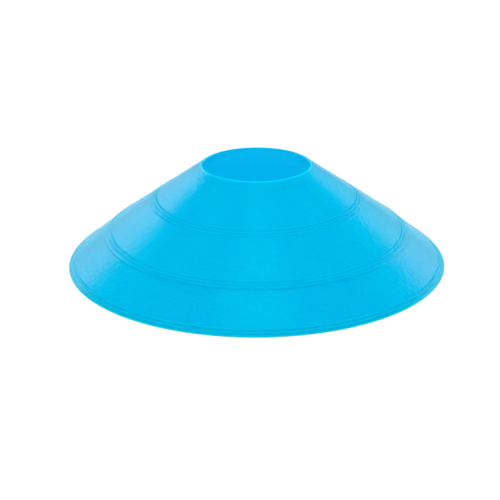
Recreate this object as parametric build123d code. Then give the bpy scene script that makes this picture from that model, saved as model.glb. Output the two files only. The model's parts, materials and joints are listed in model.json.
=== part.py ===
from build123d import *
import os
from math import asin, atan2, cos, radians, sin, tan

# A disc marker cone for sports drills: one thin hollow moulding in soft plastic, open at the top and below.
# Its wall is three bands, each steeper than the one above. Each band ends in a row of low ribs.
# A rib climbs gently off the wall on its way down, and falls back to it steeply.
# Sizes are in millimetres and angles in degrees. The cone stands on its foot ring at z = 0, and its axis is Z.

# Overall sizes
BASE_DIAMETER = 190.0
HEIGHT = 51.0
HOLE_DIAMETER = 53.0
WALL = 1.2

# Where the bands meet. At the lower ring the wall steps down over a short ledge.
UPPER_RING_DIAMETER = 107.3
UPPER_RING_HEIGHT = 32.3
LOWER_RING_DIAMETER = 152.7
LOWER_RING_HEIGHT = 15.9
LEDGE = 0.6
LEDGE_SLOPE = 63.0

# The two edges: the round lip of the hole, and the upright edge of the foot ring
LIP_RADIUS = 0.6
FOOT_LAND = 0.3
FOOT_RADIUS = 0.15

# The ribs: how far apart they end, how long they climb, how steeply they fall, and the height of each rib
# of a row as a share of the one above it
RIB_PITCH = 1.75
RIB_CLIMB = 0.85
RIB_FALL_ANGLE = 37.5
RIB_FADE = 0.85

# How many ribs each row has
LIP_RIBS = 3
UPPER_RIBS = 3
LOWER_RIBS = 2
FOOT_RIBS = 2

# How far the first rib of each row stands off the wall
LIP_RIB_RISE = 0.06
UPPER_RIB_RISE = 0.17
LOWER_RIB_RISE = 0.21
FOOT_RIB_RISE = 0.28

# The plain wall between the lip and its row, and between the other rows and the ends of their bands
LIP_ROW_SETBACK = 1.1
UPPER_ROW_SETBACK = 0.15
LOWER_ROW_SETBACK = 1.6
FOOT_ROW_SETBACK = 1.3


def slope_between(high, low):
    """Angle below level of the wall from a high point to a low one."""
    return atan2(high.Y - low.Y, low.X - high.X)


def down_slope(slope):
    """Unit vector down and outwards along a wall of this slope."""
    return Vector(cos(slope), -sin(slope))


def off_slope(slope):
    """Unit vector square to a wall of this slope, out of the cone."""
    return Vector(sin(slope), cos(slope))


def inner_corner(corner, slope_above, slope_below):
    """The point inside a corner of the wall where the inner faces of its two bands meet."""
    half_turn = (slope_below - slope_above) / 2
    return corner - off_slope(slope_above + half_turn) * (WALL / cos(half_turn))


def rib_length(rise):
    """Length down the wall of a rib that stands this far off it."""
    return RIB_CLIMB + rise / tan(radians(RIB_FALL_ANGLE))


def rib_row(end, slope, ribs, rise):
    """The corners of a row of ribs that ends at this point of a wall: foot, crest and foot of each rib."""
    down = down_slope(slope)
    corners = []
    for ribs_after in reversed(range(ribs)):
        rib_end = end - down * (RIB_PITCH * ribs_after)
        start = rib_end - down * rib_length(rise)
        crest = start + down * RIB_CLIMB + off_slope(slope) * rise
        corners += [start, crest, rib_end]
        rise *= RIB_FADE
    return corners


def straight_runs(points):
    """The straight stretches of the outline from each point to the next."""
    return [Line(start, end) for start, end in zip(points, points[1:])]


hole_radius = HOLE_DIAMETER / 2
base_radius = BASE_DIAMETER / 2

# Outer corners, each a point of (distance from the axis, height)
lip_centre = Vector(hole_radius + LIP_RADIUS, HEIGHT - LIP_RADIUS)
land_top = Vector(hole_radius, lip_centre.Y)
upper_ring = Vector(UPPER_RING_DIAMETER / 2, UPPER_RING_HEIGHT)
lower_ring = Vector(LOWER_RING_DIAMETER / 2, LOWER_RING_HEIGHT)
skirt_top = lower_ring + down_slope(radians(LEDGE_SLOPE)) * LEDGE
foot = Vector(base_radius, FOOT_LAND)
foot_round_start = Vector(base_radius, FOOT_RADIUS)
foot_round_end = Vector(base_radius - FOOT_RADIUS, 0)

# The slopes of the bands. The upper band runs up to touch the round of the lip.
lip_reach = (upper_ring - lip_centre).length
upper_slope = slope_between(lip_centre, upper_ring) + asin(LIP_RADIUS / lip_reach)
middle_slope = slope_between(upper_ring, lower_ring)
skirt_slope = slope_between(skirt_top, foot)
rim = lip_centre + off_slope(upper_slope) * LIP_RADIUS

# Where the rows of ribs end
lip_row_length = (LIP_RIBS - 1) * RIB_PITCH + rib_length(LIP_RIB_RISE)
lip_row_end = rim + down_slope(upper_slope) * (LIP_ROW_SETBACK + lip_row_length)
upper_row_end = upper_ring - down_slope(upper_slope) * UPPER_ROW_SETBACK
lower_row_end = lower_ring - down_slope(middle_slope) * LOWER_ROW_SETBACK
foot_row_end = foot - down_slope(skirt_slope) * FOOT_ROW_SETBACK

# Inner corners, one wall thickness inside the outer faces
upper_wall_at_hole = rim.Y + (rim.X - hole_radius) * tan(upper_slope)
land_bottom = Vector(hole_radius, upper_wall_at_hole - WALL / cos(upper_slope))
inner_upper_ring = inner_corner(upper_ring, upper_slope, middle_slope)
inner_lower_ring = inner_corner(skirt_top, middle_slope, skirt_slope)
inner_foot = Vector(foot.X + foot.Y / tan(skirt_slope) - WALL / sin(skirt_slope), 0)

# The section: over the lip, down the outside, under the foot ring and back up the inside
outside = [rim]
outside += rib_row(lip_row_end, upper_slope, LIP_RIBS, LIP_RIB_RISE)
outside += rib_row(upper_row_end, upper_slope, UPPER_RIBS, UPPER_RIB_RISE)
outside += [upper_ring]
outside += rib_row(lower_row_end, middle_slope, LOWER_RIBS, LOWER_RIB_RISE)
outside += [lower_ring, skirt_top]
outside += rib_row(foot_row_end, skirt_slope, FOOT_RIBS, FOOT_RIB_RISE)
outside += [foot, foot_round_start]
inside = [foot_round_end, inner_foot, inner_lower_ring, inner_upper_ring, land_bottom, land_top]

outline = [TangentArc(land_top, rim, tangent=(0, 1))]
outline += straight_runs(outside)
outline += [TangentArc(foot_round_start, foot_round_end, tangent=(0, -1))]
outline += straight_runs(inside)

section = make_face(Wire(outline))
cone_shell = revolve(Plane.XZ * section, axis=Axis.Z)
cone_shell.label = "cone_shell"

os.makedirs("parts", exist_ok=True)
export_step(cone_shell, "parts/cone_shell.step")
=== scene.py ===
"""Dresses a disc marker cone: the moulded shell, its soft plastic, and the studio that it stands in."""

import json
import logging
import math
from dataclasses import dataclass
from enum import Enum

import bmesh
import bpy
from mathutils import Matrix, Vector


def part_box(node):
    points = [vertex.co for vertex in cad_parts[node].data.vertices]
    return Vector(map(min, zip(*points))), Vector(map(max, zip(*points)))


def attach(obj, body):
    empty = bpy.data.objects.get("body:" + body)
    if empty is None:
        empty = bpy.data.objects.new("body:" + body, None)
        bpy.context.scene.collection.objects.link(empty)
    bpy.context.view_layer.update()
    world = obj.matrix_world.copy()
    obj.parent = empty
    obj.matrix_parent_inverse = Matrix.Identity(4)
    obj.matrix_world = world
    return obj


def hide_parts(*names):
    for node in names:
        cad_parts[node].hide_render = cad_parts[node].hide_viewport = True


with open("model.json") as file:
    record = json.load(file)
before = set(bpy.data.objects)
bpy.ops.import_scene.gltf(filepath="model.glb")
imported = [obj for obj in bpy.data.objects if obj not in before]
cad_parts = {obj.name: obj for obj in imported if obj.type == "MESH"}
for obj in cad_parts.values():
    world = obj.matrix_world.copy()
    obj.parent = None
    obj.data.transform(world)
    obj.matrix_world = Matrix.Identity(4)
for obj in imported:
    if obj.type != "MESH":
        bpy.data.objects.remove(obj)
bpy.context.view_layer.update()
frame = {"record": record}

log = logging.getLogger("marker_cone")

MM = 0.001
SHELL_NODE = "cone_shell"
SHELL_BODY = "root"
HOLE_MOUNT = "top_hole"
BAKE_MAP = "OFBake"
# Vertex layer that masks the painted glow: the lip and the foot are painted paler, standing in for light
# that comes through the thin plastic there.
EDGE_GLOW_LAYER = "painted_edge_glow"

Colour = tuple[float, float, float, float]
Value = float | tuple[float, ...]
Span = tuple[float, float]
Way = tuple[float, float, float]

WHITE: Colour = (1.0, 1.0, 1.0, 1.0)
ACROSS: Way = (1.0, 0.0, 0.0)
BACK: Way = (0.0, 1.0, 0.0)
UP: Way = (0.0, 0.0, 1.0)
RISING: Span = (0.0, 1.0)
FALLING: Span = (1.0, 0.0)


class Skin(Enum):
    """The side of the wall that a stretch of the section lies on."""

    OUTER = "outer"
    INNER = "inner"


@dataclass(frozen=True)
class SectionPoint:
    """One point of the shell's section, in millimetres.

    Args:
        reach: Distance from the cone's axis.
        height: Height above the floor.
        skin: The side of the wall that the stretch up to this point lies on.
        thin: How much painted glow the point gets, standing in for light through the thin lip and foot,
            from 0 on the wall to 1 on the lip or the foot.
    """

    reach: float
    height: float
    skin: Skin
    thin: float


class SectionPen:
    """Draws the section as points, one stretch after the other."""

    def __init__(self, start: Vector) -> None:
        """Puts the pen down.

        Args:
            start: The first point, as (distance from the axis, height).
        """
        self.place = start
        self.skin = Skin.OUTER
        # How much painted glow the points get, from 0 on the wall to 1 on the lip or the foot.
        self.thin = 0.0
        self.points: list[SectionPoint] = []

    def dot(self, place: Vector) -> None:
        """Adds one point and moves the pen there."""
        self.points.append(SectionPoint(place.x, place.y, self.skin, self.thin))
        self.place = place

    def line(self, end: Vector, longest: float, glows_to: float | None = None) -> None:
        """Draws a straight stretch.

        Args:
            end: Where it ends.
            longest: Longest step between two points.
            glows_to: How much painted glow it has where it ends, if that changes along the stretch.
        """
        start = self.place
        glow_before = self.thin
        glow_after = self.thin if glows_to is None else glows_to
        steps = max(1, math.ceil((end - start).length / longest))
        for step in range(1, steps + 1):
            share = step / steps
            self.thin = glow_before + (glow_after - glow_before) * share
            self.dot(start.lerp(end, share))

    def arc(self, centre: Vector, turn: float, steps: int) -> None:
        """Draws a round stretch from where the pen is.

        Args:
            centre: Centre of the round.
            turn: Angle that it turns through, clockwise.
            steps: Steps along the round.
        """
        spoke = self.place - centre
        for step in range(1, steps + 1):
            self.dot(centre + Matrix.Rotation(-turn * step / steps, 2) @ spoke)

    def corner(self, point: Vector, after: Vector, radius: float, steps: int) -> None:
        """Draws a straight stretch up to a corner, and rounds the corner off.

        Args:
            point: The corner before it is rounded.
            after: A point on the stretch that leaves the corner.
            radius: Radius of the round.
            steps: Steps along the round.
        """
        arriving = (point - self.place).normalized()
        turn = arriving.angle_signed((after - point).normalized())
        inwards = Vector((arriving.y, -arriving.x)) * math.copysign(radius, turn)
        self.dot(point - arriving * (radius * math.tan(abs(turn) / 2)))
        self.arc(self.place + inwards, turn, steps)


@dataclass
class ConeShell:
    """The moulded shell: three bands of thin wall, with rows of low ribs.

    Sizes are in millimetres and angles in degrees.

    Args:
        base_diameter: Outside diameter of the foot ring.
        height: Height of the top of the lip.
        hole_diameter: Diameter of the hole inside the lip.
        wall: Thickness of the wall.
        upper_ring_diameter: Outside diameter where the upper band meets the middle band.
        upper_ring_height: Height of that ring.
        lower_ring_diameter: Outside diameter where the middle band ends at the ledge.
        lower_ring_height: Height of that ring.
        ledge: Length of the short steep step below the lower ring.
        ledge_slope: Slope of that step.
        lip_radius: Radius of the lip's round.
        foot_land: Height of the foot ring's upright edge.
        foot_radius: Radius of its lower edge.
        edge_round: Radius of the inner edges of the lip and the foot.
        edge_glow_fade: How far the painted glow of the lip and the foot runs on to the wall.
        inner_lip_glow: How much painted glow the inner side of the lip gets, standing in for brighter light
            near the top of the hole; it fades out down the inner face of the upper band.
        rib_pitch: Distance between the ends of two ribs of a row.
        rib_climb: Length over which a rib climbs off the wall.
        rib_fall_angle: How steeply it falls back to the wall.
        rib_fade: Height of a rib as a share of the one above it in its row.
        rib_round: Radius of the ribs' edges.
        lip_rib_rise: How far the first rib below the lip stands off the wall.
        upper_rib_rise: The same for the row above the upper ring.
        lower_rib_rise: The same for the row above the lower ring.
        foot_rib_rise: The same for the row above the foot.
        lip_row_setback: Plain wall between the lip and its row.
        upper_row_setback: Plain wall between the row and the upper ring.
        lower_row_setback: Plain wall between the row and the lower ring.
        foot_row_setback: Plain wall between the row and the foot.
        row_of_three: Ribs of the rows below the lip and above the upper ring.
        row_of_two: Ribs of the rows above the lower ring and the foot.
        sides: Sides of the turned mesh.
        rib_steps: Steps along the round of a rib's edge.
        round_steps: Steps along the other rounds.
        longest_step: Longest step along a straight stretch.
        map_margin: Free margin round each strip of the bake map.
        outer_strip: Where the outer skin's first strip starts up the bake map, and how tall its strips are.
        inner_strip: The same for the inner skin.
        name: The piece's name.
    """

    base_diameter: float
    height: float
    hole_diameter: float
    wall: float = 1.2
    upper_ring_diameter: float = 107.3
    upper_ring_height: float = 32.3
    lower_ring_diameter: float = 152.7
    lower_ring_height: float = 15.9
    ledge: float = 0.6
    ledge_slope: float = 63.0
    lip_radius: float = 0.6
    foot_land: float = 0.3
    foot_radius: float = 0.15
    edge_round: float = 0.12
    edge_glow_fade: float = 0.8
    inner_lip_glow: float = 0.3
    rib_pitch: float = 1.75
    rib_climb: float = 0.85
    rib_fall_angle: float = 37.5
    rib_fade: float = 0.85
    rib_round: float = 0.06
    lip_rib_rise: float = 0.06
    upper_rib_rise: float = 0.17
    lower_rib_rise: float = 0.21
    foot_rib_rise: float = 0.28
    lip_row_setback: float = 1.1
    upper_row_setback: float = 0.15
    lower_row_setback: float = 1.6
    foot_row_setback: float = 1.3
    row_of_three: int = 3
    row_of_two: int = 2
    sides: int = 288
    rib_steps: int = 3
    round_steps: int = 5
    longest_step: float = 1.6
    map_margin: float = 0.004
    outer_strip: Span = (0.0, 0.35)
    inner_strip: Span = (0.7, 0.15)
    name: str = "moulded_shell"

    @classmethod
    def from_frame(cls) -> "ConeShell":
        """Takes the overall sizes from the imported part.

        Returns:
            The shell, with the base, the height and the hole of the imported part.
        """
        low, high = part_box(SHELL_NODE)
        reach = max(high.x, high.y, -low.x, -low.y)
        mounts = {mount["name"]: mount for mount in frame["record"]["mounts"]}
        hole_radius = mounts[HOLE_MOUNT]["dims"]["r_mm"]
        return cls(base_diameter=2 * reach / MM, height=high.z / MM, hole_diameter=2 * hole_radius)

    @staticmethod
    def down(slope: float) -> Vector:
        """Unit vector down and outwards along a wall of this slope."""
        return Vector((math.cos(slope), -math.sin(slope)))

    @staticmethod
    def off(slope: float) -> Vector:
        """Unit vector square to a wall of this slope, out of the cone."""
        return Vector((math.sin(slope), math.cos(slope)))

    @staticmethod
    def slope(high: Vector, low: Vector) -> float:
        """Angle below level of the wall from a high point to a low one."""
        return math.atan2(high.y - low.y, low.x - high.x)

    def inner_corner(self, corner: Vector, above: float, below: float) -> Vector:
        """Finds where the inner faces of two bands meet.

        Args:
            corner: The outer corner between the bands.
            above: Slope of the band above it.
            below: Slope of the band below it.

        Returns:
            The inner corner.
        """
        half_turn = (below - above) / 2
        return corner - self.off(above + half_turn) * (self.wall / math.cos(half_turn))

    def rib_length(self, rise: float) -> float:
        """How long a rib is down the wall, if it stands this far off it."""
        return self.rib_climb + rise / math.tan(math.radians(self.rib_fall_angle))

    def draw_row(self, pen: SectionPen, end: Vector, slope: float, ribs: int, rise: float) -> None:
        """Draws the plain wall down to a row of ribs, and then the row.

        Args:
            pen: The pen, at the top of the plain wall.
            end: Where the row's last rib ends, on the face of the wall.
            slope: Slope of the wall.
            ribs: How many ribs the row has.
            rise: How far the first rib stands off the wall.
        """
        down = self.down(slope)
        for ribs_after in reversed(range(ribs)):
            rib_end = end - down * (self.rib_pitch * ribs_after)
            start = rib_end - down * self.rib_length(rise)
            crest = start + down * self.rib_climb + self.off(slope) * rise
            pen.line(start - down * self.rib_round, self.longest_step)
            pen.corner(start, crest, self.rib_round, self.rib_steps)
            pen.corner(crest, rib_end, self.rib_round, self.rib_steps)
            pen.corner(rib_end, rib_end + down, self.rib_round, self.rib_steps)
            rise *= self.rib_fade

    def section(self) -> list[SectionPoint]:
        """Draws the section: over the lip, down the outside, under the foot ring and up the inside.

        Returns:
            The points of the section, clockwise, from the top of the hole's upright land.
        """
        hole_radius = self.hole_diameter / 2
        base_radius = self.base_diameter / 2
        lip_centre = Vector((hole_radius + self.lip_radius, self.height - self.lip_radius))
        land_top = Vector((hole_radius, lip_centre.y))
        upper = Vector((self.upper_ring_diameter / 2, self.upper_ring_height))
        lower = Vector((self.lower_ring_diameter / 2, self.lower_ring_height))
        foot = Vector((base_radius, self.foot_land))

        lip_reach = (upper - lip_centre).length
        upper_slope = self.slope(lip_centre, upper) + math.asin(self.lip_radius / lip_reach)
        middle_slope = self.slope(upper, lower)
        skirt_top = lower + self.down(math.radians(self.ledge_slope)) * self.ledge
        skirt_slope = self.slope(skirt_top, foot)
        rim = lip_centre + self.off(upper_slope) * self.lip_radius
        down_upper = self.down(upper_slope)
        down_middle = self.down(middle_slope)
        down_skirt = self.down(skirt_slope)
        lip_row_length = (self.row_of_three - 1) * self.rib_pitch + self.rib_length(self.lip_rib_rise)
        lip_row_end = rim + down_upper * (self.lip_row_setback + lip_row_length)
        upper_row_end = upper - down_upper * self.upper_row_setback
        lower_row_end = lower - down_middle * self.lower_row_setback
        foot_row_end = foot - down_skirt * self.foot_row_setback

        wall_at_hole = rim.y + (rim.x - hole_radius) * math.tan(upper_slope)
        land_bottom = Vector((hole_radius, wall_at_hole - self.wall / math.cos(upper_slope)))
        inner_upper = self.inner_corner(upper, upper_slope, middle_slope)
        inner_lower = self.inner_corner(skirt_top, middle_slope, skirt_slope)
        foot_reach = foot.x + foot.y / math.tan(skirt_slope) - self.wall / math.sin(skirt_slope)
        inner_foot = Vector((foot_reach, 0.0))

        pen = SectionPen(land_top)
        # Painted glow: the hole's land and the inner half of the lip's round get part of it, standing in
        # for brighter light near the top of the hole.
        pen.thin = self.inner_lip_glow
        pen.dot(land_top)
        pen.arc(lip_centre, math.pi / 2, self.round_steps)
        # The outer half of the lip's round gets the full painted glow, which fades out on the wall below
        # it.
        pen.thin = 1.0
        pen.arc(lip_centre, upper_slope, self.round_steps)
        pen.thin = 0.0
        pen.dot(rim + down_upper * self.edge_glow_fade)
        self.draw_row(pen, lip_row_end, upper_slope, self.row_of_three, self.lip_rib_rise)
        self.draw_row(pen, upper_row_end, upper_slope, self.row_of_three, self.upper_rib_rise)
        pen.dot(upper)
        self.draw_row(pen, lower_row_end, middle_slope, self.row_of_two, self.lower_rib_rise)
        pen.line(lower - down_middle * self.rib_round, self.longest_step)
        pen.corner(lower, skirt_top, self.rib_round, self.rib_steps)
        pen.corner(skirt_top, foot, self.rib_round, self.rib_steps)
        self.draw_row(pen, foot_row_end, skirt_slope, self.row_of_two, self.foot_rib_rise)
        pen.dot(foot - down_skirt * self.edge_glow_fade)

        # The foot's edge and its inner corner get the full painted glow, which fades out on the wall above
        # them.
        pen.thin = 1.0
        pen.dot(foot)
        pen.corner(Vector((base_radius, 0.0)), inner_foot, self.foot_radius, self.round_steps)
        pen.skin = Skin.INNER
        pen.corner(inner_foot, inner_lower, self.edge_round, self.round_steps)
        pen.thin = 0.0
        pen.dot(inner_foot - down_skirt * self.edge_glow_fade)
        pen.line(inner_lower, self.longest_step)
        pen.line(inner_upper, self.longest_step)
        # The painted glow rises again up the inner face of the upper band to the hole's land.
        pen.line(land_bottom + down_upper * self.edge_glow_fade, self.longest_step, self.inner_lip_glow)
        pen.corner(land_bottom, land_top, self.edge_round, self.round_steps)
        return pen.points

    def map_rows(self, points: list[SectionPoint]) -> list[tuple[Skin, float, float]]:
        """Places each stretch of the section along its own skin, for the bake map.

        Args:
            points: The section.

        Returns:
            For the stretch that leaves each point, its skin and where it starts and ends, from 0 to 1.
        """
        run = {skin: 0.0 for skin in Skin}
        rows = []
        for point, after in zip(points, points[1:] + points[:1]):
            start = run[after.skin]
            run[after.skin] += math.hypot(after.reach - point.reach, after.height - point.height)
            rows.append((after.skin, start, run[after.skin]))
        return [(skin, start / run[skin], end / run[skin]) for skin, start, end in rows]

    def map_place(self, skin: Skin, side: int, edge: int, along: float) -> tuple[float, float]:
        """Finds a corner's place on the bake map, where each half turn of each skin is a level strip.

        Args:
            skin: Side of the wall.
            side: Which side of the turned section the face is.
            edge: 0 for the face's near edge, 1 for its far edge.
            along: Place along the skin, from 0 to 1.

        Returns:
            The place on the map.
        """
        half_turn = self.sides // 2
        second = side // half_turn
        first_low, tall = self.outer_strip if skin is Skin.OUTER else self.inner_strip
        low = first_low + tall * second + self.map_margin
        across = (side - second * half_turn + edge) / half_turn
        return (
            self.map_margin + across * (1 - 2 * self.map_margin),
            low + along * (tall - 2 * self.map_margin),
        )

    def build(self) -> bpy.types.Object:
        """Turns the section about the axis into one closed skin.

        Returns:
            The shell's object, in the scene and riding on the part.
        """
        points = self.section()
        rows = self.map_rows(points)
        skin_mesh = bmesh.new()
        # Layer for the painted glow of the lip and the foot.
        thin = skin_mesh.verts.layers.float.new(EDGE_GLOW_LAYER)
        bake_map = skin_mesh.loops.layers.uv.new(BAKE_MAP)
        turns = [2 * math.pi * side / self.sides for side in range(self.sides)]
        rings: list[list[bmesh.types.BMVert]] = []
        for point in points:
            reach = point.reach * MM
            height = point.height * MM
            ring = [skin_mesh.verts.new((reach * math.sin(a), reach * math.cos(a), height)) for a in turns]
            for vert in ring:
                vert[thin] = point.thin
            rings.append(ring)
        for ring, next_ring, row in zip(rings, rings[1:] + rings[:1], rows):
            skin, start, end = row
            for side in range(self.sides):
                after = (side + 1) % self.sides
                face = skin_mesh.faces.new((ring[side], next_ring[side], next_ring[after], ring[after]))
                face.smooth = True
                corners = ((0, start), (0, end), (1, end), (1, start))
                for loop, (edge, along) in zip(face.loops, corners):
                    loop[bake_map].uv = self.map_place(skin, side, edge, along)
        mesh = bpy.data.meshes.new(self.name)
        skin_mesh.to_mesh(mesh)
        skin_mesh.free()
        shell = bpy.data.objects.new(self.name, mesh)
        bpy.context.scene.collection.objects.link(shell)
        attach(shell, SHELL_BODY)
        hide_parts(SHELL_NODE)
        return shell

    def dress(self, shell: bpy.types.Object, finish: "SoftPlastic") -> None:
        """Gives the shell its finish."""
        shell.data.materials.append(finish.make())


class Bench:
    """Adds shader nodes to one tree and joins them."""

    def __init__(self, tree: bpy.types.NodeTree) -> None:
        """Clears the tree to start from nothing."""
        tree.nodes.clear()
        self.tree = tree

    def add(self, kind: str, sockets: dict[str, Value] | None = None, **settings: str) -> bpy.types.Node:
        """Adds one node.

        Args:
            kind: Blender's name for the node, without its first words.
            sockets: Values for its inputs, by identifier.
            settings: Its own settings, by name.

        Returns:
            The new node.
        """
        node = self.tree.nodes.new("ShaderNode" + kind)
        for name, setting in settings.items():
            setattr(node, name, setting)
        for name, value in (sockets or {}).items():
            self.input(node, name).default_value = value
        return node

    @staticmethod
    def input(node: bpy.types.Node, name: str) -> bpy.types.NodeSocket:
        """A node's input, by identifier."""
        return next(socket for socket in node.inputs if socket.identifier == name)

    @staticmethod
    def output(node: bpy.types.Node, name: str) -> bpy.types.NodeSocket:
        """A node's output, by identifier."""
        return next(socket for socket in node.outputs if socket.identifier == name)

    def join(self, source: bpy.types.Node, output: str, target: bpy.types.Node, name: str) -> None:
        """Joins an output of one node to an input of another.

        Args:
            source: The node that gives.
            output: Its output, by identifier.
            target: The node that takes.
            name: Its input, by identifier.
        """
        self.tree.links.new(self.output(source, output), self.input(target, name))

    def ramp(
        self, source: bpy.types.NodeSocket, before: Span, after: Span, soft: bool = False,
    ) -> bpy.types.NodeSocket:
        """Turns one span of a value into another, and holds it at the ends.

        Args:
            source: The value.
            before: The span that it is read over.
            after: What that span becomes.
            soft: Whether the ends are eased.

        Returns:
            The new value.
        """
        node = self.add("MapRange", {
            "From Min": before[0], "From Max": before[1], "To Min": after[0], "To Max": after[1],
        }, interpolation_type="SMOOTHSTEP" if soft else "LINEAR")
        self.tree.links.new(source, self.input(node, "Value"))
        return self.output(node, "Result")

    def along(self, way: bpy.types.Node, line: Way) -> bpy.types.NodeSocket:
        """Measures how far a direction of the surroundings goes along a line.

        Args:
            way: The node that gives the direction.
            line: The line.

        Returns:
            How far it goes.
        """
        node = self.add("VectorMath", {"Vector_001": line}, operation="DOT_PRODUCT")
        self.join(way, "Generated", node, "Vector")
        return self.output(node, "Value")

    def sum(self, kind: str, *values: bpy.types.NodeSocket) -> bpy.types.NodeSocket:
        """Works out one value from one or two others.

        Args:
            kind: Blender's name for the sum.
            values: The values.

        Returns:
            The new value.
        """
        node = self.add("Math", operation=kind)
        for value, name in zip(values, ("Value", "Value_001")):
            self.tree.links.new(value, self.input(node, name))
        return self.output(node, "Value")


@dataclass(frozen=True)
class SoftPlastic:
    """Sky-blue soft polyethylene: satin, with a fine moulded grain, and a little light comes through it.

    Lengths are in millimetres.

    Args:
        name: The material's name.
        body_colour: Colour of the wall where the moulding is pale.
        deep_colour: Colour of the wall where it is deep.
        edge_glow_colour: Paler colour painted on the thin lip and foot, standing in for light that comes
            through the thin plastic there.
        cloud_size: Size of the slow changes between the pale and the deep colour.
        cloud_detail: How much finer change they hold.
        mottle_size: Size of the shallow dents and dull spots.
        mottle_detail: How much finer change they hold.
        grain_size: Size of the fine grain.
        grain_detail: How much finer change it holds.
        mottle_depth: Depth of the dents.
        grain_depth: Depth of the grain.
        smooth_roughness: Roughness of the glossiest spots.
        dull_roughness: Roughness of the dullest spots.
        glow: Share of the light that spreads inside the wall.
        glow_depth: How far it spreads.
        glow_spread: The same for red, green and blue, as shares.
        refraction: Index of refraction of the plastic.
        gloss_tint: Tint of the gloss.
    """

    name: str = "soft_polyethylene"
    body_colour: Colour = (0.0, 0.53, 0.80, 1.0)
    deep_colour: Colour = (0.0, 0.50, 0.78, 1.0)
    edge_glow_colour: Colour = (0.0, 0.72, 0.93, 1.0)
    cloud_size: float = 18.0
    cloud_detail: float = 2.0
    mottle_size: float = 2.2
    mottle_detail: float = 1.0
    grain_size: float = 0.45
    grain_detail: float = 2.0
    mottle_depth: float = 0.14
    grain_depth: float = 0.004
    smooth_roughness: float = 0.09
    dull_roughness: float = 0.16
    glow: float = 1.0
    glow_depth: float = 1.2
    glow_spread: tuple[float, float, float] = (0.4, 0.8, 1.0)
    refraction: float = 1.5
    gloss_tint: Colour = (0.6, 1.0, 1.0, 1.0)

    def make(self) -> bpy.types.Material:
        """Makes the material.

        Returns:
            The material, from nodes alone.
        """
        material = bpy.data.materials.new(self.name)
        material.use_nodes = True
        bench = Bench(material.node_tree)
        place = bench.add("TexCoord")
        clouds = bench.add("TexNoise", {"Scale": 1 / (self.cloud_size * MM), "Detail": self.cloud_detail})
        mottle = bench.add("TexNoise", {"Scale": 1 / (self.mottle_size * MM), "Detail": self.mottle_detail})
        grain = bench.add("TexNoise", {"Scale": 1 / (self.grain_size * MM), "Detail": self.grain_detail})
        for noise in (clouds, mottle, grain):
            bench.join(place, "Object", noise, "Vector")

        body = bench.add("Mix", {
            "A_Color": self.deep_colour, "B_Color": self.body_colour,
        }, data_type="RGBA")
        bench.join(clouds, "Fac", body, "Factor_Float")
        # Painted glow: towards the lip and the foot the colour is mixed to a paler one, standing in for
        # light that comes through the thin plastic.
        edge = bench.add("Mix", {"B_Color": self.edge_glow_colour}, data_type="RGBA")
        thin = bench.add("Attribute", attribute_name=EDGE_GLOW_LAYER)
        bench.join(thin, "Fac", edge, "Factor_Float")
        bench.join(body, "Result_Color", edge, "A_Color")

        dullness = bench.add("MapRange", {
            "To Min": self.smooth_roughness, "To Max": self.dull_roughness,
        })
        bench.join(mottle, "Fac", dullness, "Value")

        mottle_bump = bench.add("Bump", {"Distance": self.mottle_depth * MM})
        bench.join(mottle, "Fac", mottle_bump, "Height")
        grain_bump = bench.add("Bump", {"Distance": self.grain_depth * MM})
        bench.join(grain, "Fac", grain_bump, "Height")
        bench.join(mottle_bump, "Normal", grain_bump, "Normal")

        shader = bench.add("BsdfPrincipled", {
            "IOR": self.refraction,
            "Specular Tint": self.gloss_tint,
            "Subsurface Weight": self.glow,
            "Subsurface Radius": self.glow_spread,
            "Subsurface Scale": self.glow_depth * MM,
        })
        bench.join(edge, "Result_Color", shader, "Base Color")
        bench.join(dullness, "Result", shader, "Roughness")
        bench.join(grain_bump, "Normal", shader, "Normal")
        out = bench.add("OutputMaterial")
        bench.join(shader, "BSDF", out, "Surface")
        return material


@dataclass(frozen=True)
class FloorPaper:
    """The white paper that the cone stands on.

    Args:
        name: The material's name.
        colour: The paper's own colour.
        seen_lift: What is added for the camera, so that the paper is white where no shadow falls.
        mirrored_colour: The paper's colour in reflections.
        mirrored_lift: What is added there. It has no red, as the plastic has none.
    """

    name: str = "floor_paper"
    colour: Colour = (0.45, 0.45, 0.45, 1.0)
    seen_lift: Colour = (0.55, 0.55, 0.55, 1.0)
    mirrored_colour: Colour = (0.36, 0.36, 0.36, 1.0)
    mirrored_lift: Colour = (0.0, 0.31, 0.40, 1.0)

    def make(self) -> bpy.types.Material:
        """Makes the material: plain paper that the camera sees as white where no shadow falls.

        Returns:
            The material.
        """
        material = bpy.data.materials.new(self.name)
        material.use_nodes = True
        bench = Bench(material.node_tree)
        paper = bench.add("BsdfDiffuse", {"Color": self.colour})
        lift = bench.add("Emission", {"Color": self.seen_lift})
        ray = bench.add("LightPath")
        bench.join(ray, "Is Camera Ray", lift, "Strength")
        seen = bench.add("AddShader")
        bench.join(paper, "BSDF", seen, "Shader")
        bench.join(lift, "Emission", seen, "Shader_001")
        mirrored_paper = bench.add("BsdfDiffuse", {"Color": self.mirrored_colour})
        mirrored_lift = bench.add("Emission", {"Color": self.mirrored_lift})
        mirrored = bench.add("AddShader")
        bench.join(mirrored_paper, "BSDF", mirrored, "Shader")
        bench.join(mirrored_lift, "Emission", mirrored, "Shader_001")
        either = bench.add("MixShader")
        bench.join(ray, "Is Glossy Ray", either, "Fac")
        bench.join(seen, "Shader", either, "Shader")
        bench.join(mirrored, "Shader", either, "Shader_001")
        out = bench.add("OutputMaterial")
        bench.join(either, "Shader", out, "Surface")
        return material


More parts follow.
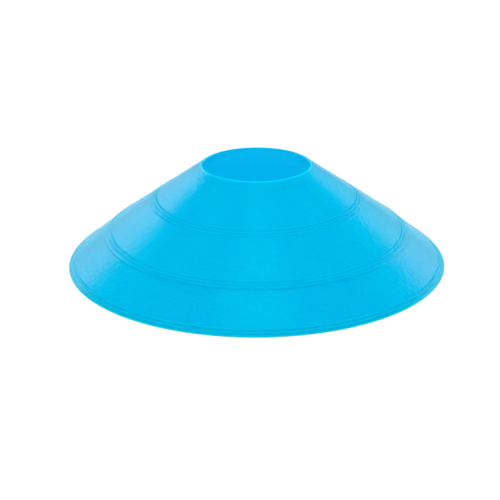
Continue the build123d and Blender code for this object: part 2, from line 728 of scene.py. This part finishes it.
@dataclass(frozen=True)
class PhotoCamera:
    """The camera at the photograph's place. Lengths are in millimetres and angles in degrees.

    Args:
        distance: Distance from the point that it is aimed at.
        elevation: How far above level it looks from.
        roll: How far it is turned about its own line of sight.
        aim_across: Where it is aimed at, across the view from the cone's axis.
        aim_height: Height of that point.
        lens: Focal length.
        sensor: Width of the sensor.
        near: Nearest distance that it sees.
        far: Farthest distance that it sees.
    """

    distance: float = 743.5
    elevation: float = 21.525
    roll: float = -0.3
    aim_across: float = -3.348
    aim_height: float = 4.959
    lens: float = 105.24
    sensor: float = 36.0
    near: float = 10.0
    far: float = 20000.0

    def place(self) -> None:
        """Puts the camera in the scene and makes it the one that renders."""
        data = bpy.data.cameras.new("photo_camera")
        data.lens = self.lens
        data.sensor_width = self.sensor
        data.clip_start = self.near * MM
        data.clip_end = self.far * MM
        camera = bpy.data.objects.new("photo_camera", data)
        bpy.context.scene.collection.objects.link(camera)
        rise = math.radians(self.elevation)
        back = Vector((0.0, -math.cos(rise), math.sin(rise)))
        aim = Vector((self.aim_across, 0.0, self.aim_height))
        camera.location = (aim + back * self.distance) * MM
        tilt = (-back).to_track_quat("-Z", "Y").to_matrix().to_4x4()
        turn = Matrix.Rotation(math.radians(self.roll), 4, "Z")
        camera.rotation_euler = (tilt @ turn).to_euler()
        bpy.context.scene.camera = camera


class Side(Enum):
    """The side of the cone that a card stands at, as the sign of the way there across the view."""

    LEFT = -1.0
    RIGHT = 1.0


@dataclass(frozen=True)
class SideCard:
    """A white card behind the cone at one side, which the sheen shows.

    It is placed by directions from the cone, as unit vectors. The card's near edge leans out as it rises,
    so that straight behind the cone it is dark, and its top edge falls towards the outside.

    Args:
        side: The side that it stands at.
        top_heights: Heights of the top edge at the two places of `top_places`.
        dimness: The brightness at the two places of `dimmed`.
        near_edge: How far out, less the lean, the card starts and is whole.
        dimmed: How far out, less the lean, its near part is dim and is full.
        top_places: How far out the top edge has its two heights.
        top_fade: How far over the top edge, from below it, the card itself fades.
        glow_fade: How far over the top edge the glow above the card fades.
        glow: The share of the brightness that the glow has.
        lean: How much the near edge leans out for each step up.
        front_edge: How far back the card starts and is whole.
    """

    side: Side
    top_heights: Span
    dimness: Span = (1.0, 1.0)
    near_edge: Span = (0.18, 0.25)
    dimmed: Span = (0.30, 0.45)
    top_places: Span = (0.45, 0.95)
    top_fade: Span = (-0.17, 0.035)
    glow_fade: Span = (0.035, 0.75)
    glow: float = 0.64
    lean: float = 0.6
    front_edge: Span = (0.0, 0.3)

    def paint(self, bench: Bench, way: bpy.types.Node) -> bpy.types.NodeSocket:
        """Paints the card.

        Args:
            bench: The bench of the surroundings.
            way: The node that gives the direction.

        Returns:
            How much of the card each direction sees, from 0 to 1.
        """
        sign = self.side.value
        out = bench.along(way, (sign, 0.0, 0.0))
        height = bench.along(way, UP)
        leaning = bench.along(way, (sign, 0.0, -self.lean))
        near = bench.ramp(leaning, self.near_edge, RISING)
        dim = bench.ramp(leaning, self.dimmed, self.dimness)
        over = bench.sum("SUBTRACT", height, bench.ramp(out, self.top_places, self.top_heights))
        edge = bench.ramp(over, self.top_fade, (1.0 - self.glow, 0.0))
        below = bench.sum("ADD", edge, bench.ramp(over, self.glow_fade, (self.glow, 0.0)))
        behind = bench.ramp(bench.along(way, BACK), self.front_edge, RISING)
        part = bench.sum("MULTIPLY", bench.sum("MULTIPLY", near, dim), behind)
        return bench.sum("MULTIPLY", part, below)


@dataclass(frozen=True)
class FrontPanels:
    """Two low soft panels at the front corners, which the steep sides of the ribs show.

    They are placed by directions from the cone, as unit vectors.

    Args:
        inner_edge: How far out to each side the panels start and are whole.
        top_edge: How high they are still whole, and where they end.
        back_edge: How far back they are still whole, and where they end.
    """

    inner_edge: Span = (0.30, 0.55)
    top_edge: Span = (0.20, 0.34)
    back_edge: Span = (-0.35, -0.10)

    def paint(self, bench: Bench, way: bpy.types.Node) -> bpy.types.NodeSocket:
        """Paints the panels.

        Args:
            bench: The bench of the surroundings.
            way: The node that gives the direction.

        Returns:
            How much of the panels each direction sees, from 0 to 1.
        """
        out = bench.sum("ABSOLUTE", bench.along(way, ACROSS))
        beside = bench.ramp(out, self.inner_edge, RISING)
        low = bench.ramp(bench.along(way, UP), self.top_edge, FALLING)
        before = bench.ramp(bench.along(way, BACK), self.back_edge, FALLING)
        return bench.sum("MULTIPLY", bench.sum("MULTIPLY", beside, low), before)


@dataclass(frozen=True)
class Mirrored:
    """What the sheen shows: a white card at each side, a soft box over the front, and two low panels.

    The plastic is a purer blue than a picture can hold, so a weak reflection adds no red to it. That is why
    the cards are short of red where they are weak, and the soft box and the panels have none.

    Args:
        brightness: Brightness of the cards at the two heights of `heights`.
        heights: The heights that it is given for.
        red_starts: The share of a card that starts to have red, and the share that has all of it.
        red: How much red it has at those two shares.
        box_way: The way from the cone to the middle of the soft box.
        box_reach: How near to that way the soft box starts and is whole.
        box_green: Its brightness in green.
        box_blue: Its brightness in blue.
        panel_green: The panels' brightness in green.
        panel_blue: Their brightness in blue.
    """

    brightness: Span = (0.52, 1.30)
    heights: Span = (0.0, 0.45)
    red_starts: Span = (0.64, 1.0)
    red: Span = RISING
    box_way: Way = (0.0, -0.242, 0.970)
    box_reach: Span = (0.94, 0.995)
    box_green: float = 1.4
    box_blue: float = 1.0
    panel_green: float = 1.6
    panel_blue: float = 1.4

    def paint(self, bench: Bench) -> bpy.types.Node:
        """Paints what the reflections see.

        Args:
            bench: The bench of the surroundings.

        Returns:
            The node that gives it.
        """
        way = bench.add("TexCoord")
        left = SideCard(Side.LEFT, top_heights=(0.94, -0.13))
        right = SideCard(Side.RIGHT, top_heights=(0.57, 0.43), dimness=(0.79, 1.0))
        card = bench.sum("ADD", left.paint(bench, way), right.paint(bench, way))
        bright = bench.ramp(bench.along(way, UP), self.heights, self.brightness)
        to_box = bench.along(way, self.box_way)
        white = bench.sum("MULTIPLY", bright, card)
        red = bench.sum("MULTIPLY", bright, bench.ramp(card, self.red_starts, self.red))
        green_box = bench.ramp(to_box, self.box_reach, (0.0, self.box_green), soft=True)
        blue_box = bench.ramp(to_box, self.box_reach, (0.0, self.box_blue), soft=True)
        panels = FrontPanels().paint(bench, way)
        green_panels = bench.ramp(panels, RISING, (0.0, self.panel_green))
        blue_panels = bench.ramp(panels, RISING, (0.0, self.panel_blue))
        green = bench.sum("ADD", bench.sum("ADD", white, green_box), green_panels)
        blue = bench.sum("ADD", bench.sum("ADD", white, blue_box), blue_panels)
        colour = bench.add("CombineColor")
        for value, name in ((red, "Red"), (green, "Green"), (blue, "Blue")):
            bench.tree.links.new(value, bench.input(colour, name))
        seen = bench.add("Background")
        bench.join(colour, "Color", seen, "Color")
        return seen


@dataclass(frozen=True)
class Studio:
    """A pale floor under a soft light from above and all round, with white cards beside the cone.

    Args:
        floor_radius: Radius of the floor, in metres.
        floor_sides: Sides of its edge.
        fill_strength: Strength of the light from all round.
        lamp_strength: Strength of the lamp overhead.
        lamp_spread: How wide that lamp is, in degrees.
        glow_radius: Radius of the lamp under the cone, in metres.
        glow_height: Its height above the floor, in metres.
        glow_power: Its power, in watts.
        glow_colour: Its colour.
    """

    floor_radius: float = 3.0
    floor_sides: int = 96
    fill_strength: float = 0.45
    lamp_strength: float = 2.4
    lamp_spread: float = 100.0
    glow_radius: float = 0.09
    glow_height: float = 0.0005
    glow_power: float = 0.068
    glow_colour: tuple[float, float, float] = (0.15, 0.93, 1.0)

    def lay_floor(self, finish: FloorPaper) -> bpy.types.Object:
        """Lays the floor.

        Args:
            finish: What it is made of.

        Returns:
            The floor's object.
        """
        disc = bmesh.new()
        bmesh.ops.create_circle(disc, cap_ends=True, segments=self.floor_sides, radius=self.floor_radius)
        mesh = bpy.data.meshes.new("floor")
        disc.to_mesh(mesh)
        disc.free()
        mesh.materials.append(finish.make())
        floor = bpy.data.objects.new("floor", mesh)
        bpy.context.scene.collection.objects.link(floor)
        return floor

    def fill_round(self, mirrored: Mirrored) -> None:
        """Makes the surroundings: a plain soft fill, the cards in reflections, and white to the camera.

        Args:
            mirrored: What the reflections see.
        """
        world = bpy.data.worlds.new("studio_surroundings")
        world.use_nodes = True
        bpy.context.scene.world = world
        bench = Bench(world.node_tree)
        fill = bench.add("Background", {"Color": WHITE, "Strength": self.fill_strength})
        behind = bench.add("Background", {"Color": WHITE, "Strength": 1.0})
        ray = bench.add("LightPath")
        lit = bench.add("MixShader")
        bench.join(ray, "Is Glossy Ray", lit, "Fac")
        bench.join(fill, "Background", lit, "Shader")
        bench.join(mirrored.paint(bench), "Background", lit, "Shader_001")
        seen = bench.add("MixShader")
        bench.join(ray, "Is Camera Ray", seen, "Fac")
        bench.join(lit, "Shader", seen, "Shader")
        bench.join(behind, "Background", seen, "Shader_001")
        out = bench.add("OutputWorld")
        bench.join(seen, "Shader", out, "Surface")

    def hang_lamp(self) -> None:
        """Hangs the wide soft lamp overhead, where no reflection shows it."""
        data = bpy.data.lights.new("soft_overhead", "SUN")
        data.energy = self.lamp_strength
        data.angle = math.radians(self.lamp_spread)
        lamp = bpy.data.objects.new("soft_overhead", data)
        lamp.visible_glossy = False
        bpy.context.scene.collection.objects.link(lamp)

    def hide_glow(self) -> None:
        """Hides a lamp under the cone, for the light that comes in through the thin wall."""
        data = bpy.data.lights.new("glow_inside", "AREA")
        data.shape = "DISK"
        data.size = 2 * self.glow_radius
        data.energy = self.glow_power
        data.color = self.glow_colour
        lamp = bpy.data.objects.new("glow_inside", data)
        lamp.location = (0.0, 0.0, self.glow_height)
        lamp.rotation_euler = (math.pi, 0.0, 0.0)
        lamp.visible_camera = False
        lamp.visible_glossy = False
        bpy.context.scene.collection.objects.link(lamp)

    def set_up(self) -> None:
        """Lays the floor and lights the cone, so that colours render as they are written."""
        bpy.context.scene.view_settings.view_transform = "Standard"
        self.lay_floor(FloorPaper())
        self.fill_round(Mirrored())
        self.hang_lamp()
        self.hide_glow()


def main() -> None:
    """Builds the shell, its finish and the studio in order, and reports each piece."""
    logging.basicConfig(level=logging.INFO, format="%(message)s")
    cone = ConeShell.from_frame()
    shell = cone.build()
    cone.dress(shell, SoftPlastic())
    log.info("%s: %d faces", shell.name, len(shell.data.polygons))
    Studio().set_up()
    PhotoCamera().place()


if __name__ == "__main__":
    main()
